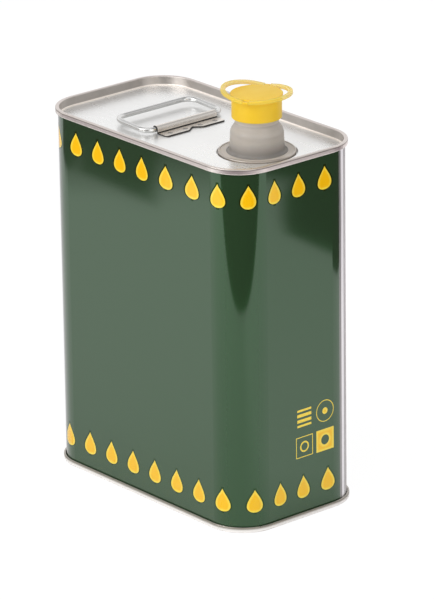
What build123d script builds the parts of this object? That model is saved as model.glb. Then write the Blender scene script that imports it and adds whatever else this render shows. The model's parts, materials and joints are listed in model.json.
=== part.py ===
from build123d import *
import math
import os

# Three litre oil tin, in millimetres: +Z up, X along the wide face, origin at the centre of the foot
body_width = 168.0
body_depth = 92.0
tin_height = 214.0
corner_radius = 22.0
sheet = 0.3

# Double seam: how deep it hooks, and the space between its five layers of sheet
seam_height = 3.2
layer_gap = 0.2
compound_height = 0.35
hook_overlap_end = 0.6
seam_bend = 0.45
rim_bend = 0.5

# Sunken panels of the two ends
top_recess = 5.5
bottom_recess = 5.5
panel_bend = 1.0
plate_inset = 4.0

# Welded lap of the side seam, on the back right corner
weld_angle = 38.0
weld_width = 1.0
weld_standout = 0.12
weld_end_gap = 0.4

# Well and raised neck that the spout is crimped to, measured in from the right wall
spout_inset = 35.2
spout_y = 0.0
neck_bore = 18.9
neck_drop = 0.6
neck_bend = 0.4
flare_width = 2.0
well_gap = 0.6
well_bend = 0.5

# Crimp ring over the spout's flange
ring_play = 0.55
ring_lip = 1.0
ring_hook = 1.7
ring_bend = 0.4
ring_floor_gap = 0.3

# Spout moulding, with heights over the top of its flange
flange_height = 0.5
flange_clearance = 0.3
plug_wall = 1.5
plug_depth = 4.0
plug_clearance = 0.2
spout_skin = 0.7
foot_flare = 1.7
foot_bend = 1.9
wall_taper = 0.7
wall_height = 12.4
shoulder_step = 2.6
shoulder_rise = 3.6
shoulder_bend = 1.5
collar_bend = 0.8
collar_run = 1.0
collar_show = 2.7
collar_hidden = 0.3
collar_ledge = 1.2
collar_slope = 0.5
throat_wall = 2.3
throat_taper = 2.0
mouth_rounding = 0.35

# Screw thread of the neck and the cap
thread_pitch = 3.0
thread_depth = 1.0
thread_root_width = 1.3
thread_crest_width = 0.7
thread_sink = 0.15
thread_clearance = 0.2
neck_thread_turns = 1.25
cap_thread_turns = 1.0

# Screw cap
cap_clearance = 0.3
cap_wall = 1.5
cap_height = 13.6
cap_foot_rounding = 0.9
cap_ceiling = 1.4
cap_dome = 0.5
lip_overhang = 0.65
lip_height = 1.6
lip_rounding = 0.4
liner_thickness = 0.9
liner_clearance = 0.25
seal_gap = 0.05

# Two pull bails on the cap, hinged along one line across it
bail_direction = -62.0
bail_bow = 5.65
bail_foot_reach = 3.05
bail_strip = 2.6
bail_thickness = 2.0
bail_rounding = 0.4
bail_gap = 0.15
bail_drop = 0.8
post_half_width = 1.3
left_bail_angle = 9.7
right_bail_angle = 5.2

# Wire handle in its curled bracket
handle_x = -13.0
handle_y = 0.0
wire_diameter = 3.0
wire_lift = 0.8
wire_butt_gap = 0.5
handle_depth = 28.6
leg_run = 0.25
leg_bend = 6.0
loop_bend = 7.0
handle_angle = 2.2
bracket_sheet = 0.6
bracket_length = 43.5
bracket_bend = 0.5
curl_clearance = 0.08
curl_end_angle = 215.0
bracket_reach = 10.3
lobe_corner = 2.5
notch_depth = 3.7
notch_width = 10.0
notch_bend = 0.8
spot_diameter = 3.0
spot_dimple = 0.15
spot_count = 4

# Places and radii that follow from these
panel_top = tin_height - top_recess
flange_top = panel_top + flange_height
spout_x = body_width / 2 - spout_inset
flare_radius = neck_bore + flare_width
ring_radius = flare_radius + ring_play + sheet
well_radius = ring_radius + well_gap
well_depth = neck_drop + 2 * (sheet + ring_floor_gap)
root_radius = neck_bore - plug_clearance - plug_wall
wall_foot_radius = root_radius - foot_flare
wall_top_radius = wall_foot_radius - wall_taper
collar_radius = wall_top_radius - shoulder_step
shoulder_height = wall_height + shoulder_rise
collar_foot = shoulder_height + collar_run
cap_foot = collar_foot + collar_show
cap_top = cap_foot + cap_height
collar_top = cap_foot + collar_hidden
thread_root_radius = collar_radius - collar_ledge
mouth_bore = collar_radius - throat_wall
ceiling_height = cap_top - cap_ceiling
mouth_height = ceiling_height - liner_thickness - seal_gap
cap_bore = collar_radius + cap_clearance
cap_radius = cap_bore + cap_wall
lip_radius = cap_radius + lip_overhang
lip_foot = cap_top - lip_height
wire_height = wire_diameter / 2 + wire_lift


def rim_path():
    """Outline of the body wall's outer face, from the middle of the front face round."""
    half_width = body_width / 2
    half_depth = body_depth / 2
    reach_x = half_width - corner_radius
    reach_y = half_depth - corner_radius
    with BuildLine() as outline:
        front = Line((0, -half_depth), (reach_x, -half_depth))
        corner = JernArc(front @ 1, front % 1, corner_radius, 90)
        right = Line(corner @ 1, (half_width, reach_y))
        corner = JernArc(right @ 1, right % 1, corner_radius, 90)
        back = Line(corner @ 1, (-reach_x, half_depth))
        corner = JernArc(back @ 1, back % 1, corner_radius, 90)
        left = Line(corner @ 1, (-half_width, -reach_y))
        corner = JernArc(left @ 1, left % 1, corner_radius, 90)
        Line(corner @ 1, (0, -half_depth))
    return outline.wires()[0]


def rim_section():
    """Plane across the wall at the start of the rim path: x outward from the wall, y up."""
    return Plane(origin=(0, -body_depth / 2, 0), x_dir=(0, -1, 0), z_dir=(-1, 0, 0))


def spout_section():
    """Upright plane through the spout's axis: x is the radius, y the height over the flange."""
    return Plane(origin=(spout_x, spout_y, flange_top), x_dir=(1, 0, 0), z_dir=(0, -1, 0))


def spout_axis():
    return Axis((spout_x, spout_y, 0), (0, 0, 1))


def spout_plane(height):
    """Level plane on the spout's axis, at a height over the flange."""
    return Plane(origin=(spout_x, spout_y, flange_top + height))


def save(piece, name):
    piece.part.label = name
    export_step(piece.part, f"parts/{name}.step")


# Layers of the double seam, counted outward from the wall's outer face
def layer(count):
    """Middle of the sheet layer that lies this many layers outside the body wall."""
    return count * (sheet + layer_gap) - sheet / 2


hook_crown = sheet + compound_height + sheet / 2
body_hook_end = seam_height - hook_overlap_end - sheet / 2
end_hook_end = hook_crown + sheet / 2 + compound_height


def make_body_wall():
    top_crown = tin_height - hook_crown
    top_hook_end = tin_height - body_hook_end
    with BuildPart() as wall:
        with BuildSketch(rim_section()):
            with BuildLine():
                FilletPolyline(
                    (layer(2), top_hook_end),
                    (layer(2), top_crown),
                    (layer(0), top_crown),
                    (layer(0), hook_crown),
                    (layer(2), hook_crown),
                    (layer(2), body_hook_end),
                    radius=seam_bend,
                )
            trace(line_width=sheet)
        sweep(path=rim_path())
    return wall


def make_side_weld():
    """Raised lap where the two edges of the body sheet are welded, from seam to seam."""
    foot = seam_height + weld_end_gap
    corner_x = body_width / 2 - corner_radius
    corner_y = body_depth / 2 - corner_radius
    lap_plane = Plane(origin=(corner_x, corner_y, foot)).rotated((0, 0, weld_angle))
    with BuildPart() as weld:
        with BuildSketch(lap_plane):
            Circle(corner_radius + weld_standout)
            Circle(corner_radius, mode=Mode.SUBTRACT)
            with Locations((corner_radius, 0)):
                Rectangle(corner_radius, weld_width, mode=Mode.INTERSECT)
        extrude(amount=tin_height - 2 * foot)
    return weld


def add_can_end(recess, edge, inward):
    """Adds one end to the open part: sunken panel, chuck wall and seam hook.

    edge is the height of the end's rim, and inward is +1 at the foot and -1 at the top.
    """
    def at(depth):
        return edge + inward * depth

    panel_middle = recess + sheet / 2
    with BuildSketch(rim_section()) as hook:
        with BuildLine():
            FilletPolyline(
                (-plate_inset, at(panel_middle)),
                (layer(-1), at(panel_middle)),
                (layer(-1), at(sheet / 2)),
                (layer(3), at(sheet / 2)),
                (layer(3), at(seam_height - sheet / 2)),
                (layer(1), at(seam_height - sheet / 2)),
                (layer(1), at(end_hook_end)),
                radius=[panel_bend, rim_bend, seam_bend, seam_bend, seam_bend],
            )
        trace(line_width=sheet)
    sweep(hook.sketch, path=rim_path())
    with BuildSketch(Plane.XY.offset(at(panel_middle) - sheet / 2)) as plate:
        RectangleRounded(
            body_width - 2 * plate_inset,
            body_depth - 2 * plate_inset,
            corner_radius - plate_inset,
        )
    extrude(plate.sketch, amount=sheet)


def make_bottom_end():
    with BuildPart() as end:
        add_can_end(bottom_recess, 0, 1)
    return end


def make_top_end():
    """Top end with the well round the spout and the raised neck that the spout sits on."""
    well_wall = well_radius + sheet / 2
    well_rim = well_wall + well_bend + sheet
    panel_middle = -flange_height - sheet / 2
    floor_middle = panel_middle - well_depth
    neck_wall = neck_bore + sheet / 2
    flare_middle = panel_middle - neck_drop
    with BuildPart() as end:
        add_can_end(top_recess, tin_height, -1)
        with BuildSketch(spout_plane(-flange_height)):
            Circle(well_rim)
        extrude(amount=-2 * sheet, mode=Mode.SUBTRACT)
        with BuildSketch(spout_section()):
            with BuildLine():
                FilletPolyline(
                    (well_rim, panel_middle),
                    (well_wall, panel_middle),
                    (well_wall, floor_middle),
                    (neck_wall, floor_middle),
                    (neck_wall, flare_middle),
                    (flare_radius, flare_middle),
                    radius=[well_bend, well_bend, neck_bend, neck_bend],
                )
            trace(line_width=sheet)
        revolve(axis=spout_axis())
    return end


def make_seam_compound(edge, inward):
    """Band of sealing compound between the seam's top fold and the body hook."""
    low = edge + inward * sheet
    high = edge + inward * (sheet + compound_height)
    with BuildPart() as compound:
        with BuildSketch(rim_section()):
            with Locations(((layer(0) + layer(2)) / 2, (low + high) / 2)):
                Rectangle(sheet + layer_gap, compound_height)
        sweep(path=rim_path())
    return compound


# Bracket and handle
curl_radius = wire_diameter / 2 + curl_clearance + bracket_sheet / 2
plate_edge = curl_radius + bracket_bend + bracket_sheet
spot_spacing = bracket_length / spot_count
spot_row = Plane(origin=(handle_x + (plate_edge + bracket_reach) / 2, handle_y, panel_top))


def make_handle_bracket():
    """Stamped plate with two lobes, turned up and curled over the wire."""
    curl_plane = Plane(
        origin=(handle_x, handle_y + bracket_length / 2, panel_top),
        x_dir=(1, 0, 0),
        z_dir=(0, -1, 0),
    )
    half = bracket_length / 2
    end_angle = math.radians(curl_end_angle)
    curl_end = (
        curl_radius * math.cos(end_angle),
        wire_height + curl_radius * math.sin(end_angle),
    )
    with BuildPart() as bracket:
        with BuildSketch(curl_plane):
            with BuildLine():
                FilletPolyline(
                    (plate_edge, bracket_sheet / 2),
                    (curl_radius, bracket_sheet / 2),
                    (curl_radius, wire_height),
                    radius=bracket_bend,
                )
                ThreePointArc((curl_radius, wire_height), (0, wire_height + curl_radius), curl_end)
            trace(line_width=bracket_sheet)
        extrude(amount=bracket_length)
        with BuildSketch(Plane(origin=(handle_x, handle_y, panel_top))):
            with BuildLine():
                lobes = FilletPolyline(
                    (plate_edge, -half),
                    (bracket_reach, -half),
                    (bracket_reach, -notch_width / 2),
                    (bracket_reach - notch_depth, 0),
                    (bracket_reach, notch_width / 2),
                    (bracket_reach, half),
                    (plate_edge, half),
                    radius=[lobe_corner, lobe_corner, notch_bend, lobe_corner, lobe_corner],
                )
                Line(lobes @ 1, lobes @ 0)
            make_face()
        extrude(amount=bracket_sheet)
        with BuildSketch(spot_row):
            with GridLocations(0, spot_spacing, 1, spot_count):
                Circle(spot_diameter / 2)
        extrude(amount=bracket_sheet, mode=Mode.SUBTRACT)
    return bracket


def make_spot_welds():
    """Nuggets that fill the bracket's weld spots and leave a shallow dimple over each."""
    with BuildPart() as welds:
        with BuildSketch(spot_row):
            with GridLocations(0, spot_spacing, 1, spot_count):
                Circle(spot_diameter / 2)
        extrude(amount=bracket_sheet - spot_dimple)
    return welds


def make_handle_wire():
    """Round wire bent into an open loop, its two ends butted inside the curl."""
    raise_angle = math.radians(handle_angle)
    half_length = bracket_length / 2 + leg_run + leg_bend
    loop_plane = Plane(
        origin=(handle_x, handle_y, panel_top + wire_height),
        x_dir=(0, 1, 0),
        z_dir=(math.sin(raise_angle), 0, math.cos(raise_angle)),
    )
    with BuildPart() as wire:
        with BuildLine(loop_plane) as loop:
            FilletPolyline(
                (wire_butt_gap / 2, 0),
                (half_length, 0),
                (half_length, handle_depth),
                (-half_length, handle_depth),
                (-half_length, 0),
                (-wire_butt_gap / 2, 0),
                radius=[leg_bend, loop_bend, loop_bend, leg_bend],
            )
        path = loop.wires()[0]
        with BuildSketch(Plane(origin=path @ 0, z_dir=path % 0)):
            Circle(wire_diameter / 2)
        sweep(path=path)
    return wire


# Spout
flange_thickness = flange_height + neck_drop


def make_crimp_ring():
    """Tinplate ring that clamps the flange down on the neck's flare."""
    wall_middle = ring_radius - sheet / 2
    well_floor = -flange_height - well_depth
    hook_middle = well_floor + ring_floor_gap + sheet / 2
    with BuildPart() as ring:
        with BuildSketch(spout_section()):
            with BuildLine():
                FilletPolyline(
                    (ring_radius - ring_lip, sheet / 2),
                    (wall_middle, sheet / 2),
                    (wall_middle, hook_middle),
                    (wall_middle - ring_hook, hook_middle),
                    radius=ring_bend,
                )
            trace(line_width=sheet)
        revolve(axis=spout_axis())
    return ring


def make_spout_flange():
    """Fixed foot of the spout moulding, with the plug that seals in the neck."""
    outer = ring_radius - sheet - flange_clearance
    plug_outer = neck_bore - plug_clearance
    with BuildPart() as flange:
        with BuildSketch(spout_section()):
            with BuildLine():
                Polyline(
                    (root_radius, 0),
                    (outer, 0),
                    (outer, -flange_thickness),
                    (plug_outer, -flange_thickness),
                    (plug_outer, -plug_depth),
                    (root_radius, -plug_depth),
                    close=True,
                )
            make_face()
        revolve(axis=spout_axis())
    return flange


def make_spout_wall():
    """Soft wall of the spout, pulled up here; pushed in, it rolls inside out into the neck."""
    skin_middle = spout_skin / 2
    with BuildPart() as wall:
        with BuildSketch(spout_section()):
            with BuildLine():
                FilletPolyline(
                    (root_radius, -skin_middle),
                    (wall_foot_radius - skin_middle, -skin_middle),
                    (wall_top_radius - skin_middle, wall_height),
                    (collar_radius - skin_middle, shoulder_height),
                    (collar_radius - skin_middle, collar_foot),
                    radius=[foot_bend, shoulder_bend, collar_bend],
                )
            trace(line_width=spout_skin)
        revolve(axis=spout_axis())
    return wall


def add_thread(root, crest, start, turns):
    """Adds a helical ridge to the part that is open, from a root radius to a crest radius."""
    outward = math.copysign(1, crest - root)
    sunk_root = root - outward * thread_sink
    with BuildLine(spout_plane(start)) as helix:
        Helix(pitch=thread_pitch, height=thread_pitch * turns, radius=root)
    path = helix.wires()[0]
    ridge_plane = Plane(
        origin=(spout_x, spout_y, flange_top + start),
        x_dir=(1, 0, 0),
        z_dir=(0, -1, 0),
    )
    with BuildSketch(ridge_plane) as ridge:
        with BuildLine():
            Polyline(
                (sunk_root, -thread_root_width / 2),
                (crest, -thread_crest_width / 2),
                (crest, thread_crest_width / 2),
                (sunk_root, thread_root_width / 2),
                close=True,
            )
        make_face()
    sweep(ridge.sketch, path=path, is_frenet=True)


def make_spout_neck():
    """Collar and threaded mouth at the top of the spout."""
    step_top = collar_top + collar_slope
    skin_inner = collar_radius - spout_skin
    with BuildPart() as neck:
        with BuildSketch(spout_section()) as section:
            with BuildLine():
                Polyline(
                    (skin_inner, collar_foot),
                    (collar_radius, collar_foot),
                    (collar_radius, collar_top),
                    (thread_root_radius, step_top),
                    (thread_root_radius, mouth_height),
                    (mouth_bore, mouth_height),
                    (mouth_bore, collar_foot + throat_taper),
                    close=True,
                )
            make_face()
            fillet(section.vertices().group_by(Axis.Y)[-1], mouth_rounding)
        revolve(axis=spout_axis())
        add_thread(
            thread_root_radius,
            thread_root_radius + thread_depth,
            neck_thread_start,
            neck_thread_turns,
        )
    return neck


# Cap and bails
bail_heading = Vector(1, 0, 0).rotate(Axis.Z, bail_direction)
knuckle_radius = bail_thickness / 2
knuckle_offset = post_half_width + bail_gap + knuckle_radius
bail_foot = lip_radius + bail_foot_reach
cap_thread_start = collar_top + collar_slope + thread_root_width / 2 + thread_clearance
neck_thread_start = cap_thread_start + thread_pitch / 2


def make_cap_shell():
    """Screw cap with a domed top, an overhanging lip and two posts that carry the bails."""
    post_plane = spout_plane(lip_foot).rotated((0, 0, bail_direction))
    with BuildPart() as cap:
        with BuildSketch(spout_section()) as section:
            with BuildLine():
                Polyline(
                    (0, cap_top + cap_dome),
                    (0, ceiling_height),
                    (cap_bore, ceiling_height),
                    (cap_bore, cap_foot),
                    (cap_radius, cap_foot),
                    (cap_radius, lip_foot),
                    (lip_radius, lip_foot),
                    (lip_radius, cap_top),
                )
                TangentArc((0, cap_top + cap_dome), (lip_radius, cap_top), tangent=(1, 0))
            make_face()
            corners = section.vertices()
            fillet(corners.group_by(Axis.X)[-1], lip_rounding)
            foot_corner = corners.group_by(Axis.Y)[0].sort_by(Axis.X)[-1]
            fillet(foot_corner, cap_foot_rounding)
        revolve(axis=spout_axis())
        with BuildSketch(post_plane):
            for side in (-1, 1):
                with Locations((side * (cap_radius + bail_foot) / 2, 0)):
                    Rectangle(bail_foot - cap_radius, 2 * post_half_width)
        extrude(amount=lip_height - lip_rounding)
        add_thread(cap_bore, cap_bore - thread_depth, cap_thread_start, cap_thread_turns)
    return cap


def make_cap_liner():
    """Sealing disc between the cap's ceiling and the mouth."""
    with BuildPart() as liner:
        with BuildSketch(spout_plane(ceiling_height)):
            Circle(cap_bore - liner_clearance)
        extrude(amount=-liner_thickness)
    return liner


def make_bail(side, raise_angle):
    """Half ring that swings on the cap's posts; side +1 or -1 of the line between them."""
    raise_radians = math.radians(raise_angle)
    outward = bail_heading.cross(Vector(0, 0, 1)) * side
    along = outward * math.cos(raise_radians) + Vector(0, 0, math.sin(raise_radians))
    pivot = Vector(spout_x, spout_y, flange_top + cap_top - bail_drop) + outward * knuckle_offset
    tilted = Plane(origin=pivot, x_dir=bail_heading, z_dir=bail_heading.cross(along))
    reach = lip_radius + bail_bow - knuckle_offset
    foot_middle = bail_foot - bail_strip / 2
    with BuildPart() as bail:
        with BuildSketch(tilted):
            Ellipse(bail_foot, reach)
            Ellipse(bail_foot - bail_strip, reach - bail_strip, mode=Mode.SUBTRACT)
            with Locations((0, reach)):
                Rectangle(4 * reach, 2 * reach, mode=Mode.INTERSECT)
        extrude(amount=bail_thickness / 2, both=True)
        fillet(bail.edges().filter_by(GeomType.ELLIPSE), bail_rounding)
        for end in (-1, 1):
            start = pivot + bail_heading * (end * foot_middle - bail_strip / 2)
            with BuildSketch(Plane(origin=start, z_dir=bail_heading)):
                Circle(knuckle_radius)
            extrude(amount=bail_strip)
    return bail


os.makedirs("parts", exist_ok=True)
save(make_body_wall(), "body_wall")
save(make_side_weld(), "side_weld")
save(make_top_end(), "top_end")
save(make_bottom_end(), "bottom_end")
save(make_seam_compound(tin_height, -1), "top_seam_compound")
save(make_seam_compound(0, 1), "bottom_seam_compound")
save(make_handle_bracket(), "handle_bracket")
save(make_spot_welds(), "bracket_spot_welds")
save(make_handle_wire(), "handle_wire")
save(make_crimp_ring(), "spout_crimp_ring")
save(make_spout_flange(), "spout_flange")
save(make_spout_wall(), "spout_wall")
save(make_spout_neck(), "spout_neck")
save(make_cap_shell(), "cap_shell")
save(make_cap_liner(), "cap_liner")
save(make_bail(1, left_bail_angle), "bail_left")
save(make_bail(-1, right_bail_angle), "bail_right")
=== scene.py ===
import json
import math

import bmesh
import bpy
from mathutils import Matrix, Vector


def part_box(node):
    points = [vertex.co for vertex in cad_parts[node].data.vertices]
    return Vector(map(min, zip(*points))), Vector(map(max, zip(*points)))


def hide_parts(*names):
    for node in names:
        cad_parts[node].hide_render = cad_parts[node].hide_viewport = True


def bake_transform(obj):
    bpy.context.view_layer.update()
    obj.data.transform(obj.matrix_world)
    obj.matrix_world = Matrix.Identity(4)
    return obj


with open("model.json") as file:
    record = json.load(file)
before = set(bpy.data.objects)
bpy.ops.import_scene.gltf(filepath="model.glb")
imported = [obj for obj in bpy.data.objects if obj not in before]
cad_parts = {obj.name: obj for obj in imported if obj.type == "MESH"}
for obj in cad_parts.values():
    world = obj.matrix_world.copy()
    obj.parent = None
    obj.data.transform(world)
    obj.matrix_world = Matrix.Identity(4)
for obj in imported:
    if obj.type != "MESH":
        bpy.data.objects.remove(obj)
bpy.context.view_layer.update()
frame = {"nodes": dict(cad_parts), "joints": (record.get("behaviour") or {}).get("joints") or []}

# Three litre oil tin with a pull-up spout, in metres. +Z is up, the printed front faces -Y,
# and the spout stands towards +X.
nodes = frame["nodes"]
print("frame loaded:", len(nodes), "nodes")


# One socket of a shader, so that maths on it reads as plain Python
class Reading:
    def __init__(self, work, socket):
        self.work = work
        self.socket = socket

    def maths(self, operation, *inputs, clamp=False):
        settings = {"operation": operation, "use_clamp": clamp}
        return self.work.node("ShaderNodeMath", settings, dict(enumerate(inputs)))

    def __add__(self, other):
        return self.maths("ADD", self, other)

    def __sub__(self, other):
        return self.maths("SUBTRACT", self, other)

    def __rsub__(self, other):
        return self.maths("SUBTRACT", other, self)

    def __mul__(self, other):
        return self.maths("MULTIPLY", self, other)

    def __truediv__(self, other):
        return self.maths("DIVIDE", self, other)

    def __mod__(self, other):
        return self.maths("FLOORED_MODULO", self, other)

    def __pow__(self, other):
        return self.maths("POWER", self, other)

    def __abs__(self):
        return self.maths("ABSOLUTE", self)

    def __gt__(self, other):
        return self.maths("GREATER_THAN", self, other)

    __radd__ = __add__
    __rmul__ = __mul__

    def least(self, other):
        return self.maths("MINIMUM", self, other)

    def most(self, other):
        return self.maths("MAXIMUM", self, other)

    def root(self):
        return self.maths("SQRT", self)

    def eased(self):  # the same from 0 to 1, with a soft start and end
        return self * self * (3 - self * 2)

    def inside(self, edge):  # 1 well above zero, 0 well below, soft over the edge's width
        return self.maths("MULTIPLY_ADD", self, 1 / edge, 0.5, clamp=True)

    def between(self, low, high):  # low where this is 0, high where it is 1
        return self * (high - low) + low

    def sibling(self, name):  # another output of the same node
        return Reading(self.work, self.socket.node.outputs[name])


# A node tree, and the one method that adds nodes to it
class NodeWork:
    def __init__(self, tree):
        self.tree = tree

    def feed(self, socket, value):
        if isinstance(value, Reading):
            self.tree.links.new(value.socket, socket)
        elif socket.type == "RGBA":
            socket.default_value = (*value, 1)
        else:
            socket.default_value = value

    def node(self, kind, settings, inputs, output=0):
        made = self.tree.nodes.new(kind)
        for key, value in settings.items():
            setattr(made, key, value)
        for key, value in inputs.items():
            self.feed(made.inputs[key], value)
        return Reading(self, made.outputs[output])

    def apart(self, vector):
        x = self.node("ShaderNodeSeparateXYZ", {}, {"Vector": vector}, "X")
        return x, x.sibling("Y"), x.sibling("Z")


class Finish(NodeWork):
    def __init__(self, name, settings):
        self.material = bpy.data.materials.new(name)
        self.material.use_nodes = True
        super().__init__(self.material.node_tree)
        self.shader = self.tree.nodes["Principled BSDF"]
        for socketName, value in settings.items():
            self.set(socketName, value)

    def set(self, socketName, value):
        self.feed(self.shader.inputs[socketName], value)

    def coordinates(self):
        return self.apart(self.node("ShaderNodeTexCoord", {}, {}, "Object"))

    def place(self, stretch=(1, 1, 1)):
        spot = self.node("ShaderNodeTexCoord", {}, {}, "Object")
        return self.node("ShaderNodeMapping", {}, {"Vector": spot, "Scale": stretch})

    # A dictionary lists each of its noises as this method takes them
    def noise(self, scale, detail=2.0, roughness=0.5, stretch=(1, 1, 1)):
        inputs = {"Vector": self.place(stretch), "Scale": scale, "Detail": detail, "Roughness": roughness}
        return self.node("ShaderNodeTexNoise", {}, inputs)

    def colour(self, mask, below, above):
        return self.node("ShaderNodeMix", {"data_type": "RGBA"}, {0: mask, 6: below, 7: above}, 2)

    def bump(self, height, depth, under=None):  # depth is what a height of 1 stands for, in metres
        inputs = {"Height": height, "Distance": depth, "Strength": 1.0}
        if under:
            inputs["Normal"] = under
        return self.node("ShaderNodeBump", {}, inputs)

    def cover(self, *names):
        for name in names:
            slots = nodes[name].data.materials
            slots.clear()
            slots.append(self.material)


# Camera at the photograph's angle, from a fit to the tin's rims and edges
cameraView = {
    "azimuth": 49.79,
    "elevation": 20.26,
    "roll": -0.791,
    "distance": 2.7651,
    "target": (0, 0, 0.107),
    "sideways": 0.00845,
    "upwards": 0.00026,
    "lens": 292.6,
    "sensor": 36.0,
}


def aroundTin(azimuth, elevation):  # unit vector from the tin towards a viewer or a lamp
    turn = math.radians(azimuth)
    lift = math.radians(elevation)
    level = math.cos(lift)
    return Vector((math.sin(turn) * level, -math.cos(turn) * level, math.sin(lift)))


towardsCamera = aroundTin(cameraView["azimuth"], 0)
rightOfCamera = aroundTin(cameraView["azimuth"] + 90, 0)


def addCamera(view):
    back = aroundTin(view["azimuth"], view["elevation"])
    upright = back.cross(rightOfCamera)
    roll = math.radians(view["roll"])
    right = rightOfCamera * math.cos(roll) + upright * math.sin(roll)
    up = upright * math.cos(roll) - rightOfCamera * math.sin(roll)
    lens = bpy.data.cameras.new("camera")
    lens.lens = view["lens"]
    lens.sensor_width = view["sensor"]
    camera = bpy.data.objects.new("camera", lens)
    bpy.context.scene.collection.objects.link(camera)
    place = Vector(view["target"]) + back * view["distance"]
    place += right * view["sideways"] + up * view["upwards"]
    turned = Matrix((right, up, back)).transposed().to_4x4()
    camera.matrix_world = Matrix.Translation(place) @ turned
    bpy.context.scene.camera = camera


addCamera(cameraView)
print("camera placed")

# Soft lamps round the tin: azimuth and elevation in degrees, distance and size in metres, power in watts.
# The dark things round the tin and the glow at its right show only in glossy surfaces. Each dark thing has
# the softness of its edge and its corners on the floor, anticlockwise: how far each lies towards the camera
# and to the camera's right.
studio = {
    "lamps": {
        "keyLamp": {"azimuth": -8, "elevation": 30, "distance": 1.4, "size": 1.3, "power": 10.5},
        "sideLamp": {"azimuth": 82, "elevation": 22, "distance": 1.4, "size": 1.3, "power": 5.6},
        "topLamp": {"azimuth": 30, "elevation": 78, "distance": 1.3, "size": 1.2, "power": 3.5},
    },
    "ambient": 0.42,
    "backdrop": 1.0,
    "mirroredFar": 1.07,
    "mirroredNear": 0.48,
    "mirroredCeiling": 0.30,
    "farSoftness": 0.8,
    "ceilingStart": 0.72,
    "ceilingSoftness": 0.3,
    "floorRadius": 6.0,
    "floorSides": 64,
    "floorColour": (0.88, 0.88, 0.88),
    "floorFleck": (0.792, 0.792, 0.792),
    "flecks": (40, 3),
    "fleckShare": 0.1,
    "floorMirrored": (1.0, 0.975, 1.0),
    "floorDark": (0.14, 0.09, 0.12),
    "rightGlow": (0.24, 0.21, 0.235),
    "rightGlowStart": 0.07,
    "rightGlowSoftness": 0.1,
    "floorWhite": 0.9,
    "floorGlow": 1.06,
    "darkThings": {
        "cameraLeft": (0.012, ((0.4395, 0.06), (0.409, -0.41), (0.38, -1.5), (2.0, -1.5), (2.0, 0.06))),
        "cameraRight": (0.012, ((0.4386, -0.02), (2.0, -0.02), (2.0, 1.5), (0.42, 1.5), (0.42, 0.45))),
        "leftScreen": (0.014, ((-0.053, -0.536), (-0.118, -0.594), (-0.22, -1.2), (-0.116, -1.2))),
        "leftShelf": (0.025, ((-0.113, -0.595), (-0.34, -0.554), (-0.34, -1.2), (-0.113, -1.2))),
        "leftVeil": (0.12, ((0.03, -0.6), (-0.3, -0.6), (-0.3, -1.2), (0.03, -1.2))),
        "rightScreen": (
            0.01,
            ((-0.25, 0.44), (-0.031, 0.45), (0.09, 0.472), (0.12, 0.502), (0.144, 0.526), (0.15, 0.55),
             (0.158, 0.6), (0.162, 1.1), (-0.25, 1.1)),
        ),
        "rightShelf": (0.03, ((-0.25, 0.63), (0.16, 0.63), (0.25, 0.655), (0.25, 1.1), (-0.25, 1.1))),
    },
}


def addLamps(lamps):
    target = Vector(cameraView["target"])
    for name, lamp in lamps.items():
        light = bpy.data.lights.new(name, "AREA")
        light.shape = "DISK"
        light.size = lamp["size"]
        light.energy = lamp["power"]
        towards = aroundTin(lamp["azimuth"], lamp["elevation"])
        holder = bpy.data.objects.new(name, light)
        holder.location = target + towards * lamp["distance"]
        holder.rotation_euler = towards.to_track_quat("Z", "Y").to_euler()
        bpy.context.scene.collection.objects.link(holder)


def addWorld():  # lights the object evenly; its gloss shows a pale far side, darker near side and ceiling
    world = bpy.data.worlds.new("studio")
    world.use_nodes = True
    bpy.context.scene.world = world
    sky = NodeWork(world.node_tree)
    heading = sky.node("ShaderNodeTexCoord", {}, {}, "Generated")
    x, y, z = sky.apart(heading)
    farSide = (x * -towardsCamera.x - y * towardsCamera.y).inside(studio["farSoftness"])
    low = (studio["ceilingStart"] - z).inside(studio["ceilingSoftness"])
    wall = farSide.between(studio["mirroredNear"], studio["mirroredFar"])
    mirrored = low.between(studio["mirroredCeiling"], wall)
    isCamera = sky.node("ShaderNodeLightPath", {}, {}, "Is Camera Ray")
    isGlossy = isCamera.sibling("Is Glossy Ray")
    rest = (1 - isCamera - isGlossy).most(0)
    strength = isCamera * studio["backdrop"] + isGlossy * mirrored + rest * studio["ambient"]
    glow = sky.tree.nodes["Background"].inputs
    sky.feed(glow["Color"], (1, 1, 1))
    sky.feed(glow["Strength"], strength)


def patchDepth(ahead, across, corners):  # how far inside a patch's outline a point lies, below zero outside
    depth = studio["floorRadius"]
    for start, end in zip(corners, corners[1:] + corners[:1]):
        side = (Vector(end) - Vector(start)).normalized()
        inward = (across - start[1]) * side.x - (ahead - start[0]) * side.y
        depth = inward.least(depth)
    return depth


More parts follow.
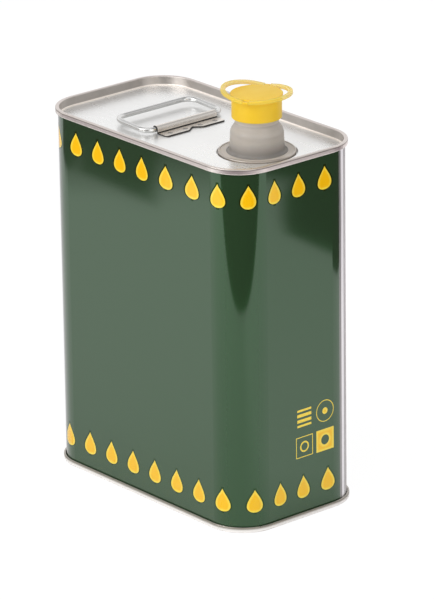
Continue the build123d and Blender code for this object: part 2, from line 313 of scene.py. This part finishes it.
def addFloor():
    mesh = bpy.data.meshes.new("floor")
    shape = bmesh.new()
    size = {"radius": studio["floorRadius"], "segments": studio["floorSides"]}
    bmesh.ops.create_circle(shape, cap_ends=True, **size)
    shape.to_mesh(mesh)
    shape.free()
    floor = bpy.data.objects.new("floor", mesh)
    bpy.context.scene.collection.objects.link(floor)
    paper = Finish("floorPaper", {"Roughness": 0.9, "Specular IOR Level": 0.0, "Emission Strength": 1.0})
    x, y, z = paper.coordinates()
    ahead = x * towardsCamera.x + y * towardsCamera.y
    across = x * rightOfCamera.x + y * rightOfCamera.y
    dark = 0.0
    for softness, corners in studio["darkThings"].values():
        dark = patchDepth(ahead, across, corners).inside(softness).most(dark)
    isCamera = paper.node("ShaderNodeLightPath", {}, {}, "Is Camera Ray")
    isGlossy = isCamera.sibling("Is Glossy Ray")
    isThrough = isCamera.sibling("Is Transmission Ray")
    flecks = paper.noise(*studio["flecks"]) * studio["fleckShare"]
    pale = paper.colour(flecks, studio["floorColour"], studio["floorFleck"])
    mirrored = paper.colour(dark, studio["floorMirrored"], studio["floorDark"])
    paper.set("Base Color", paper.colour(isGlossy, pale, mirrored))
    rightSide = (across - studio["rightGlowStart"]).inside(studio["rightGlowSoftness"])
    lit = isGlossy * rightSide * (1 - dark)
    paper.set("Emission Color", paper.colour(lit, (0, 0, 0), studio["rightGlow"]))
    white = paper.node("ShaderNodeEmission", {}, {"Color": (1, 1, 1), "Strength": studio["floorGlow"]})
    plain = Reading(paper, paper.shader.outputs[0])
    toEye = isCamera.most(isThrough) * studio["floorWhite"]
    seen = paper.node("ShaderNodeMixShader", {}, {0: toEye, 1: plain, 2: white})
    paper.feed(paper.tree.nodes["Material Output"].inputs["Surface"], seen)
    mesh.materials.append(paper.material)


addLamps(studio["lamps"])
addWorld()
addFloor()
print("studio lit")

# Printed body sheet: green with two rows of drops, a bare strip for the weld and a small group of marks.
# Places along the print are distances round the wall from the middle of the front face, towards +X. A row's
# drops stand evenly, apart from a drift along the print that comes in over its rise and goes over its fall.
# The shares of the marks are of half a mark's size.
millimetre = 0.001
bodyPrint = {
    "seamStandout": 1.5 * millimetre,
    "cornerRadius": 22 * millimetre,
    "green": (0.0145, 0.0390, 0.0130),
    "greenWorn": (0.0170, 0.0460, 0.0160),
    "varnish": {
        "IOR": 1.5,
        "Specular Tint": (0.1, 0.85, 0.2),
        "Coat Roughness": 0.05,
        "Coat IOR": 1.56,
    },
    "roughness": (0.07, 0.11),
    "yellow": (1.0, 0.54, 0.001),
    "yellowRim": (1.0, 0.74, 0.07),
    "dropLine": (0.012, 0.017, 0.002),
    "dropCount": 25,
    "firstDrop": -73.2 * millimetre,
    "dropWidth": 10.0 * millimetre,
    "dropHeight": 13.6 * millimetre,
    "dropTaper": 1.25,
    "rows": {
        "low": {
            "height": 18.3 * millimetre,
            "shift": 1.3 * millimetre,
            "drift": 5.3 * millimetre,
            "rise": (-235 * millimetre, -180 * millimetre),
            "fall": (78 * millimetre, 138 * millimetre),
        },
        "high": {
            "height": 197.4 * millimetre,
            "shift": 0.0,
            "drift": 5.9 * millimetre,
            "rise": (6 * millimetre, 66 * millimetre),
            "fall": (66 * millimetre, 126 * millimetre),
        },
    },
    "inkEdge": 0.12 * millimetre,
    "rimWidth": 1.2 * millimetre,
    "rimShare": 0.8,
    "lineWidth": 1.0 * millimetre,
    "lineStrengthLow": 0.5,
    "lineStrengthHigh": 0.95,
    "mottle": (9, 3, 0.55),
    "mottleShare": 0.7,
    "speckle": (900, 2),
    "dents": (11, 1.5),
    "dentDepth": 0.4 * millimetre,
    "skin": (700, 2),
    "skinDepth": 0.002 * millimetre,
    "inkCoatLoss": 0.3,
    "strip": (150.3 * millimetre, 165.0 * millimetre),
    "stripMetal": (0.93, 0.93, 0.925),
    "stripGrey": (0.22, 0.215, 0.205),
    "stripMetallic": 0.7,
    "stripRoughness": (0.26, 0.32),
    "stripGrain": (1, 4, 0.6, (60, 60, 3000)),
    "stripWear": 0.1,
    "stripLines": ((151.3 * millimetre, 2.0 * millimetre), (156.6 * millimetre, 1.8 * millimetre)),
    "stripLineStrength": 0.85,
    "marksCentre": (130.6 * millimetre, 51.0 * millimetre),
    "marksPitch": (15.4 * millimetre, 17.4 * millimetre),
    "markSize": 13.0 * millimetre,
    "markLine": 0.45 * millimetre,
    "markShares": {"bar": 0.14, "bars": 0.8, "dot": 0.3, "frame": 0.96, "ring": 0.5, "hole": 0.45},
}

seamLow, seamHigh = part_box("bottom_end")
wallHalfWidth = seamHigh.x - bodyPrint["seamStandout"]
wallHalfDepth = seamHigh.y - bodyPrint["seamStandout"]
coreX = wallHalfWidth - bodyPrint["cornerRadius"]
coreY = wallHalfDepth - bodyPrint["cornerRadius"]
girth = 4 * (coreX + coreY) + 2 * math.pi * bodyPrint["cornerRadius"]


def distanceRound(x, y):  # works for a point on the wall, from its nearest point on the core rectangle
    besideX = abs(x)
    nearX = besideX.least(coreX)
    nearY = y.least(coreY).most(-coreY)
    heading = x.maths("ARCTAN2", y - nearY, besideX - nearX)
    backSide = y > 0
    halfRound = (heading + math.pi / 2) * bodyPrint["cornerRadius"]
    halfRound = halfRound + nearY + coreY + coreX
    halfRound = halfRound - (coreX - nearX) * (1 - 2 * backSide)
    return halfRound * x.maths("SIGN", x)


def depthFromWall(x, y):  # how far in from the wall's outer face, below zero in the seam that stands out
    overX = (abs(x) - coreX).most(0)
    overY = (abs(y) - coreY).most(0)
    return bodyPrint["cornerRadius"] - (overX * overX + overY * overY).root()


def rowsMiddle():  # the height halfway between the two rows
    heights = [row["height"] for row in bodyPrint["rows"].values()]
    return sum(heights) / len(heights)


def dropWidest(taper):  # what a drop's outline formula gives at its widest
    fall = taper / (taper + 0.5)
    return fall ** taper * math.sqrt(1 - fall)


def ramp(along, limits):  # a soft step from 0 to 1 between two places
    start, end = limits
    return ((along - start) / (end - start)).least(1).most(0).eased()


def dropDepth(along, height, row):  # how far inside a row's drop a point lies, below zero outside
    pitch = girth / bodyPrint["dropCount"]
    centre = row["height"]
    drift = ramp(along, row["rise"]) * (1 - ramp(along, row["fall"])) * row["drift"]
    spaced = along - drift - (bodyPrint["firstDrop"] + row["shift"])
    across = abs((spaced + pitch / 2) % pitch - pitch / 2)
    half = bodyPrint["dropHeight"] / 2
    fall = ((centre + half - height) / bodyPrint["dropHeight"]).most(0)
    swell = fall ** bodyPrint["dropTaper"] * (1 - fall).most(0).root()
    depth = swell * (bodyPrint["dropWidth"] / 2 / dropWidest(bodyPrint["dropTaper"])) - across
    return depth.least(half - abs(height - centre))


def boxDepth(across, upward, half):  # the same for a square
    return (half - abs(across)).least(half - abs(upward))


def discDepth(across, upward, radius):
    return radius - (across * across + upward * upward).root()


def lineDepth(depth, line):  # a line of that width just inside an outline
    return depth.least(line - depth)


def marksDepth(along, height):  # four plain marks: ring and dot, bars, frame with a ring, block with a hole
    half = bodyPrint["markSize"] / 2
    line = bodyPrint["markLine"]
    share = bodyPrint["markShares"]
    centreX, centreY = bodyPrint["marksCentre"]
    pitchX, pitchY = bodyPrint["marksPitch"]
    left = along - (centreX - pitchX / 2)
    right = along - (centreX + pitchX / 2)
    top = height - (centreY + pitchY / 2)
    low = height - (centreY - pitchY / 2)
    barPitch = half / 2
    bars = half * share["bar"] - abs((top + half) % barPitch - barPitch / 2)
    bars = bars.least(boxDepth(left, top, half * share["bars"]))
    ring = lineDepth(discDepth(right, top, half), line)
    dot = discDepth(right, top, half * share["dot"])
    border = lineDepth(boxDepth(left, low, half * share["frame"]), line)
    smallRing = lineDepth(discDepth(left, low, half * share["ring"]), line * 2)
    block = boxDepth(right, low, half).least(0 - discDepth(right, low, half * share["hole"]))
    return bars.most(ring).most(dot).most(border).most(smallRing).most(block)


def makePrintFinish():
    finish = Finish("printedTinplate", bodyPrint["varnish"])
    x, y, z = finish.coordinates()
    along = distanceRound(x, y)
    edge = bodyPrint["inkEdge"]
    lowDrops, highDrops = [dropDepth(along, z, row) for row in bodyPrint["rows"].values()]
    drops = lowDrops.most(highDrops)
    yellow = drops.most(marksDepth(along, z))
    inked = yellow.inside(edge)
    mottle = finish.noise(*bodyPrint["mottle"])
    speckle = finish.noise(*bodyPrint["speckle"])
    wear = mottle * bodyPrint["mottleShare"] + speckle * (1 - bodyPrint["mottleShare"])
    green = finish.colour(wear, bodyPrint["green"], bodyPrint["greenWorn"])
    strength = (z > rowsMiddle()).between(bodyPrint["lineStrengthLow"], bodyPrint["lineStrengthHigh"])
    line = (drops + bodyPrint["lineWidth"]).inside(edge * 2) * (1 - inked) * strength
    green = finish.colour(line, green, bodyPrint["dropLine"])
    rim = (bodyPrint["rimWidth"] - yellow).inside(bodyPrint["rimWidth"])
    ink = finish.colour(rim * bodyPrint["rimShare"], bodyPrint["yellow"], bodyPrint["yellowRim"])
    finish.set("Base Color", finish.colour(inked, green, ink))
    finish.set("Coat Weight", 1 - line - inked * bodyPrint["inkCoatLoss"])
    finish.set("Roughness", speckle.between(*bodyPrint["roughness"]))
    wavy = finish.bump(finish.noise(*bodyPrint["dents"]), bodyPrint["dentDepth"])
    normal = finish.bump(finish.noise(*bodyPrint["skin"]), bodyPrint["skinDepth"], wavy)
    finish.set("Normal", normal)
    lines = 0.0
    for middle, width in bodyPrint["stripLines"]:
        lines = (width / 2 - abs(along - middle)).inside(edge * 4).most(lines)
    grain = finish.noise(*bodyPrint["stripGrain"])
    worn = grain * bodyPrint["stripWear"] + lines * bodyPrint["stripLineStrength"]
    metal = {
        "Base Color": finish.colour(worn, bodyPrint["stripMetal"], bodyPrint["stripGrey"]),
        "Metallic": bodyPrint["stripMetallic"],
        "Roughness": grain.between(*bodyPrint["stripRoughness"]),
        "Normal": normal,
    }
    start, end = bodyPrint["strip"]
    bare = (along - start).least(end - along).inside(edge)
    printed = Reading(finish, finish.shader.outputs["BSDF"])
    strip = finish.node("ShaderNodeBsdfPrincipled", {}, metal, "BSDF")
    surface = finish.node("ShaderNodeMixShader", {}, {0: bare, 1: printed, 2: strip})
    finish.feed(finish.tree.nodes["Material Output"].inputs["Surface"], surface)
    return finish


makePrintFinish().cover("body_wall")
print("body printed")

# Bare tinplate of the ends, rolled along X: bright panel, chuck wall painted browner and darker as shade,
# beige hem.
# Depths are in from the body wall's outer face, levels are from the nearer end of the tin.
tinplate = {
    "bright": (0.90, 0.90, 0.895),
    "dull": (0.82, 0.815, 0.805),
    "chuckWall": (0.55, 0.51, 0.475),
    "chuckWallDull": (0.38, 0.35, 0.325),
    "hem": (0.94, 0.89, 0.83),
    "hemDull": (0.74, 0.68, 0.62),
    "crown": (0.70, 0.64, 0.61),
    "crease": (0.20, 0.16, 0.14),
    "bead": (0.95, 0.88, 0.81),
    "hemDepth": -1.25 * millimetre,
    "crownLevel": 0.32 * millimetre,
    "creaseLevels": (0.35 * millimetre, 0.95 * millimetre),
    "beadLevel": 4.75 * millimetre,
    "beadDepth": 1.65 * millimetre,
    "wallDepth": 1.2 * millimetre,
    "foot": (0.96, 0.935, 0.90),
    "footShade": (0.26, 0.235, 0.19),
    "footShadeLevels": (1.2 * millimetre, 2.8 * millimetre),
    "roughness": 0.28,
    "hemRoughness": 0.32,
    "chuckRoughness": 0.4,
    "grain": (1, 5, 0.65, (14, 900, 900)),
    "grainDepth": 0.0003 * millimetre,
    "cloud": (22, 4, 0.6),
    "speckle": (1500, 2),
    "rolled": (120, 4, 0.6),
    "waves": (14, 1.5),
    "waveDepth": 0.06 * millimetre,
    "edge": 0.3 * millimetre,
    "creaseStrength": 0.85,
    "metallicLoss": {"panel": 0.3, "bead": 0.5, "crease": 0.3, "foot": 0.65},
}


def makeEndFinish():
    finish = Finish("bareTinplate", {})
    x, y, z = finish.coordinates()
    depth = depthFromWall(x, y)
    half = (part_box("top_end")[1].z + seamLow.z) / 2
    level = half - abs(z - half)
    cloud = finish.noise(*tinplate["cloud"])
    grain = finish.noise(*tinplate["grain"])
    speckle = finish.noise(*tinplate["speckle"])
    rolled = finish.noise(*tinplate["rolled"])
    edge = tinplate["edge"]
    panel = finish.colour(cloud * 0.3 + grain * 0.3, tinplate["bright"], tinplate["dull"])
    # painted shade: the chuck wall is darker and browner than the panel
    chuckWall = finish.colour(rolled, tinplate["chuckWall"], tinplate["chuckWallDull"])
    tone = finish.colour((tinplate["wallDepth"] - depth).inside(edge), panel, chuckWall)
    # painted highlight: a cream line along the bend at the foot of the chuck wall
    bead = (level - tinplate["beadLevel"]).least(tinplate["beadDepth"] - depth).inside(edge)
    tone = finish.colour(bead, tone, tinplate["bead"])
    hemTone = finish.colour(rolled * 0.5 + grain * 0.2, tinplate["hem"], tinplate["hemDull"])
    atFoot = (half - z).inside(edge)
    low, high = tinplate["footShadeLevels"]
    shade = ((level - low) / (high - low)).least(1).most(0).eased()
    footTone = finish.colour(shade, tinplate["foot"], tinplate["footShade"])
    hemTone = finish.colour(atFoot, hemTone, footTone)
    tone = finish.colour((tinplate["hemDepth"] - depth).inside(edge), tone, hemTone)
    # painted shade: a darker line along the outermost edge of each end's seam
    crown = (tinplate["crownLevel"] - level).inside(edge)
    tone = finish.colour(crown, tone, tinplate["crown"])
    # painted shade: a dark line in the top seam's fold, just under its edge
    high, low = tinplate["creaseLevels"]
    crease = (level - high).least(low - level).least(tinplate["hemDepth"] - depth).inside(edge)
    crease = crease * (1 - atFoot)
    tone = finish.colour(crease * tinplate["creaseStrength"], tone, tinplate["crease"])
    finish.set("Base Color", tone)
    onPanel = (depth - tinplate["wallDepth"]).inside(edge)
    onHem = (tinplate["hemDepth"] - depth).inside(edge)
    loss = tinplate["metallicLoss"]
    metal = 1 - onPanel * loss["panel"] - bead * loss["bead"] - crease * loss["crease"]
    finish.set("Metallic", metal - onHem * atFoot * loss["foot"])
    base = onPanel.between(tinplate["chuckRoughness"], tinplate["roughness"])
    base = base + onHem * (tinplate["hemRoughness"] - tinplate["chuckRoughness"])
    finish.set("Roughness", cloud * 0.04 + grain * 0.05 + base - 0.045)
    waves = finish.bump(finish.noise(*tinplate["waves"]), tinplate["waveDepth"])
    finish.set("Normal", finish.bump(grain * 0.8 + speckle * 0.2, tinplate["grainDepth"], waves))
    return finish


makeEndFinish().cover("top_end", "bottom_end")

# Small pressings: the lacquered crimp ring, and the bracket, whose cut edges, a border along its lobes and
# a crease by its curl are painted black as shade
pressing = {
    "ring": {"bright": (0.56, 0.51, 0.465), "dull": (0.44, 0.40, 0.36), "roughness": 0.42},
    "bracket": {"bright": (0.90, 0.86, 0.81), "dull": (0.66, 0.61, 0.56), "roughness": 0.27},
    "cloud": (90, 4, 0.6),
    "grain": (1, 5, 0.65, (900, 40, 900)),
    "grainDepth": 0.001 * millimetre,
    "cut": (0.02, 0.018, 0.017),
    "cutEdge": 0.05 * millimetre,
    "cutInset": 0.04 * millimetre,
    "cutRoughness": 0.35,
    "cutMetallicLoss": 0.8,
    "bracketSheet": 0.6 * millimetre,
    "creaseFromHinge": 2.35 * millimetre,
    "creaseWidth": 0.5 * millimetre,
    "rimWidth": 0.8 * millimetre,
    "notchHalf": 5.0 * millimetre,
    "notchDepth": 3.7 * millimetre,
}


def makePressingFinish(name, look, shadeDepth=None):  # above zero where the black painted shade goes: the cut edges, the lobes' border and the crease
    finish = Finish(name, {})
    cloud = finish.noise(*pressing["cloud"])
    grain = finish.noise(*pressing["grain"])
    tone = finish.colour(cloud * 0.4 + grain * 0.4, look["bright"], look["dull"])
    rough = cloud * 0.06 + grain * 0.08 + (look["roughness"] - 0.07)
    metal = 1.0
    if shadeDepth:
        cut = shadeDepth(*finish.coordinates()).inside(pressing["cutEdge"])
        tone = finish.colour(cut, tone, pressing["cut"])
        rough = rough + cut * pressing["cutRoughness"]
        metal = 1 - cut * pressing["cutMetallicLoss"]
    finish.set("Base Color", tone)
    finish.set("Metallic", metal)
    finish.set("Roughness", rough)
    finish.set("Normal", finish.bump(grain, pressing["grainDepth"]))
    return finish


def bracketShade(x, y, z):  # painted shade, black: the plate's two ends, a border along the edge of its lobes, and the crease by the curl
    low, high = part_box("handle_bracket")
    swing = next(joint for joint in frame["joints"] if joint["name"] == "handle_swing")
    hinge = swing["pos_m"][0]
    ends = abs(y - (low.y + high.y) / 2) - ((high.y - low.y) / 2 - pressing["cutInset"])
    plateTop = low.z + pressing["bracketSheet"]
    lobes = (plateTop - pressing["cutInset"] - z).least(x - (low.x + high.x) / 2)
    notch = (pressing["notchHalf"] - abs(y)).most(0) * (pressing["notchDepth"] / pressing["notchHalf"])
    lobes = lobes.most(x + notch - (high.x - pressing["rimWidth"]))
    crease = pressing["creaseWidth"] / 2 - abs(x - (hinge + pressing["creaseFromHinge"]))
    crease = crease.least(plateTop + pressing["creaseWidth"] - z)
    return ends.most(lobes).most(crease)


makePressingFinish("ringLacquer", pressing["ring"]).cover("spout_crimp_ring")
makePressingFinish("bracketTinplate", pressing["bracket"], bracketShade).cover("handle_bracket")

# Welds are duller and bluer than the sheet, with the ripple of the welding wheel
weld = {
    "bright": (0.66, 0.65, 0.64),
    "dull": (0.40, 0.38, 0.36),
    "roughness": (0.36, 0.51),
    "cloud": (260, 3),
    "ripple": (1, 2, 0.5, (300, 300, 1400)),
    "rippleDepth": 0.02 * millimetre,
}


def makeWeldFinish():
    finish = Finish("weldedTin", {"Metallic": 1.0})
    ripple = finish.noise(*weld["ripple"])
    cloud = finish.noise(*weld["cloud"])
    finish.set("Base Color", finish.colour(cloud * 0.5 + ripple * 0.5, weld["bright"], weld["dull"]))
    finish.set("Roughness", ripple.between(*weld["roughness"]))
    finish.set("Normal", finish.bump(ripple, weld["rippleDepth"]))
    return finish


makeWeldFinish().cover("side_weld", "bracket_spot_welds")

# Bright drawn wire of the handle
wire = {
    "bright": (0.77, 0.77, 0.76),
    "dull": (0.46, 0.455, 0.45),
    "roughness": 0.18,
    "spangle": (420, 4, 0.65),
    "scratch": (1, 4, 0.6, (900, 90, 900)),
    "scratchDepth": 0.004 * millimetre,
}


def makeWireFinish():
    finish = Finish("galvanisedWire", {"Metallic": 1.0})
    spangle = finish.noise(*wire["spangle"])
    scratch = finish.noise(*wire["scratch"])
    finish.set("Base Color", finish.colour(spangle * 0.3 + scratch * 0.2, wire["bright"], wire["dull"]))
    finish.set("Roughness", wire["roughness"] + spangle * 0.08 + scratch * 0.06)
    finish.set("Normal", finish.bump(scratch, wire["scratchDepth"]))
    return finish


makeWireFinish().cover("handle_wire")
print("metal finished")

# Sealing compound in the seams, and the foam disc in the cap
compound = {
    "dark": (0.12, 0.12, 0.115),
    "pale": (0.22, 0.215, 0.2),
    "roughness": (0.7, 0.9),
    "lumps": (600, 3),
    "lumpDepth": 0.05 * millimetre,
}
foam = {
    "dark": (0.80, 0.79, 0.76),
    "pale": (0.90, 0.90, 0.88),
    "roughness": (0.6, 0.9),
    "cellScale": 1800,
    "cellDepth": 0.04 * millimetre,
}


def makeCompoundFinish():
    finish = Finish("seamCompound", {"Specular IOR Level": 0.3})
    lumps = finish.noise(*compound["lumps"])
    finish.set("Base Color", finish.colour(lumps, compound["dark"], compound["pale"]))
    finish.set("Roughness", lumps.between(*compound["roughness"]))
    finish.set("Normal", finish.bump(lumps, compound["lumpDepth"]))
    return finish


def makeFoamFinish():
    finish = Finish("linerFoam", {"Specular IOR Level": 0.3})
    cells = finish.node("ShaderNodeTexVoronoi", {}, {"Vector": finish.place(), "Scale": foam["cellScale"]})
    finish.set("Base Color", finish.colour(cells, foam["dark"], foam["pale"]))
    finish.set("Roughness", cells.between(*foam["roughness"]))
    finish.set("Normal", finish.bump(cells, foam["cellDepth"]))
    return finish


makeCompoundFinish().cover("top_seam_compound", "bottom_seam_compound")
makeFoamFinish().cover("cap_liner")

# Natural soft plastic of the spout, milky and see-through where it is thin
spoutPlastic = {
    "milk": (0.66, 0.60, 0.54),
    "shade": (0.55, 0.49, 0.43),
    "foot": (0.44, 0.41, 0.38),
    # painted shade: the darker colour the wall takes at its foot
    "wallAlpha": 0.74,
    "footAlpha": 0.45,
    "clearing": 9 * millimetre,
    "thickAlpha": 0.94,
    "roughness": (0.34, 0.44),
    "settings": {
        "IOR": 1.5,
        "Subsurface Weight": 0.35,
        "Subsurface Radius": (1.0, 0.85, 0.7),
        "Subsurface Scale": 2 * millimetre,
    },
    "flow": (1, 3, 0.55, (120, 120, 420)),
    "grain": (1600, 2),
    "flowDepth": 0.03 * millimetre,
}


def makeSpoutFinish(name, alpha, footAlpha=None):
    finish = Finish(name, spoutPlastic["settings"])
    flow = finish.noise(*spoutPlastic["flow"])
    grain = finish.noise(*spoutPlastic["grain"])
    tone = finish.colour(flow, spoutPlastic["milk"], spoutPlastic["shade"])
    if footAlpha:  # the wall is thinnest at its foot, and the dark inside shows through there; the colour there is also painted darker as shade
        rise = finish.coordinates()[2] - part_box("spout_flange")[1].z
        milky = (rise / spoutPlastic["clearing"]).least(1).most(0).eased()
        tone = finish.colour(milky, spoutPlastic["foot"], tone)
        alpha = milky.between(footAlpha, alpha)
    finish.set("Base Color", tone)
    finish.set("Alpha", alpha)
    finish.set("Roughness", flow.between(*spoutPlastic["roughness"]))
    finish.set("Normal", finish.bump(flow * 0.8 + grain * 0.2, spoutPlastic["flowDepth"]))
    return finish


makeSpoutFinish("spoutPlastic", spoutPlastic["thickAlpha"]).cover("spout_neck", "spout_flange")

# Yellow moulded plastic of the cap and of its bails, which let light through
capPlastic = {
    "shell": {"bright": (0.95, 0.63, 0.02), "deep": (0.88, 0.54, 0.012), "alpha": 1.0},
    "bail": {"bright": (0.98, 0.76, 0.10), "deep": (0.93, 0.66, 0.06), "alpha": 0.62},
    "roughness": 0.36,
    "settings": {
        "IOR": 1.5,
        "Subsurface Weight": 0.18,
        "Subsurface Radius": (1.0, 0.6, 0.1),
        "Subsurface Scale": 1.5 * millimetre,
    },
    "cloud": (160, 3),
    "grain": (2600, 2),
    "rings": (1, 3, 0.6, (60, 60, 900)),
    "ringDepth": 0.02 * millimetre,
}


def makeCapFinish(name, look):
    finish = Finish(name, capPlastic["settings"])
    cloud = finish.noise(*capPlastic["cloud"])
    rings = finish.noise(*capPlastic["rings"])
    grain = finish.noise(*capPlastic["grain"])
    tone = cloud * 0.6 + rings * 0.3
    finish.set("Base Color", finish.colour(tone, look["bright"], look["deep"]))
    finish.set("Alpha", look["alpha"])
    finish.set("Roughness", capPlastic["roughness"] + cloud * 0.1 + grain * 0.04)
    finish.set("Normal", finish.bump(grain * 0.3 + rings * 0.7, capPlastic["ringDepth"]))
    return finish


makeCapFinish("capPlastic", capPlastic["shell"]).cover("cap_shell")
makeCapFinish("bailPlastic", capPlastic["bail"]).cover("bail_left", "bail_right")
print("plastic finished")

# Soft wall of the spout: radius and height over the flange at each corner, and the rounding there
spoutWall = {
    "corners": [
        (17.2 * millimetre, 0.0, 0.0),
        (15.5 * millimetre, 0.0, 1.9 * millimetre),
        (14.8 * millimetre, 12.4 * millimetre, 1.5 * millimetre),
        (12.2 * millimetre, 16.0 * millimetre, 0.6 * millimetre),
        (12.2 * millimetre, 17.0 * millimetre, 0.0),
    ],
    "skin": 0.45 * millimetre,
    "rollDepth": 1.2 * millimetre,
    "rings": 18,
    "roundingSteps": 6,
    "sides": 96,
    "mergeDistance": 0.01 * millimetre,
}


def makeSpoutWall(sizes):
    low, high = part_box("spout_flange")
    middle = (low + high) / 2
    axisFoot = Vector((middle.x, middle.y, high.z))
    shape = bmesh.new()
    corners = []
    for radius, height, rounding in sizes["corners"]:
        corners.append(shape.verts.new(axisFoot + Vector((radius, 0, height))))
    for lower, upper in zip(corners, corners[1:]):
        shape.edges.new((lower, upper))
    for corner, size in zip(corners, sizes["corners"]):
        if size[2]:
            bmesh.ops.bevel(
                shape,
                geom=[corner],
                offset=size[2],
                offset_type="OFFSET",
                affect="VERTICES",
                segments=sizes["roundingSteps"],
                profile=0.5,
                material=-1,
            )
    tall = max(shape.edges, key=lambda edge: edge.calc_length())
    bmesh.ops.subdivide_edges(shape, edges=[tall], cuts=sizes["rings"])
    profile = shape.verts[:] + shape.edges[:]
    bmesh.ops.spin(
        shape,
        geom=profile,
        cent=axisFoot,
        axis=(0, 0, 1),
        angle=math.tau,
        steps=sizes["sides"],
        use_merge=True,
    )
    bmesh.ops.remove_doubles(shape, verts=shape.verts, dist=sizes["mergeDistance"])
    bmesh.ops.recalc_face_normals(shape, faces=shape.faces)
    for face in shape.faces:
        face.smooth = True
    mesh = bpy.data.meshes.new("spoutWall")
    shape.to_mesh(mesh)
    shape.free()
    wall = bpy.data.objects.new("spoutWall", mesh)
    bpy.context.scene.collection.objects.link(wall)
    thickness = wall.modifiers.new("skin", "SOLIDIFY")
    thickness.thickness = sizes["skin"]
    thickness.offset = -1
    skin = makeSpoutFinish("spoutSkin", spoutPlastic["wallAlpha"], spoutPlastic["footAlpha"])
    mesh.materials.append(skin.material)
    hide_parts("spout_wall")
    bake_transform(wall)


makeSpoutWall(spoutWall)
print("spout wall rolled on")

bpy.context.scene.view_settings.view_transform = "Standard"
